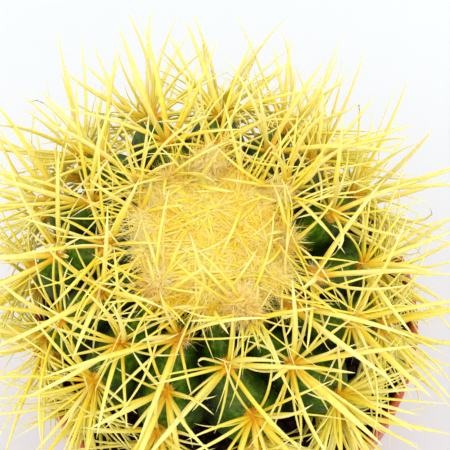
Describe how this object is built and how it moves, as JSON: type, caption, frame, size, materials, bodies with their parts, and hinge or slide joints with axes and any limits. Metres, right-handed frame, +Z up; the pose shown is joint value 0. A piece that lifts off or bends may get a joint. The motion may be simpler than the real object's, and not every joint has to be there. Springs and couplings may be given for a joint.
{
  "type": "potted round cactus",
  "caption": "Ribbed globe cactus with a woolly crown and long yellow spines, growing in soil in a small terracotta-coloured plastic pot.",
  "frame": {"origin": "centre of the pot's foot, on the surface that the pot stands on", "axes": "+Z up along the pot's axis, -Y towards the front of the plant"},
  "size_m": [0.1839, 0.1807, 0.2143],
  "materials": {
    "pot_plastic": "satin",
    "soil": "matte",
    "cactus_skin": "satin",
    "wool": "matte",
    "spine": "satin"
  },
  "bodies": {
    "root": {"pot": "pot_plastic", "soil": "soil", "cactus_body": "cactus_skin", "woolly_crown": "wool", "spines_rib_01": "spine", "spines_rib_02": "spine", "spines_rib_03": "spine", "spines_rib_04": "spine", "spines_rib_05": "spine", "spines_rib_06": "spine", "spines_rib_07": "spine", "spines_rib_08": "spine", "spines_rib_09": "spine", "spines_rib_10": "spine", "spines_rib_11": "spine", "spines_rib_12": "spine", "spines_rib_13": "spine", "spines_rib_14": "spine", "spines_rib_15": "spine"}
  },
  "joints": []
}
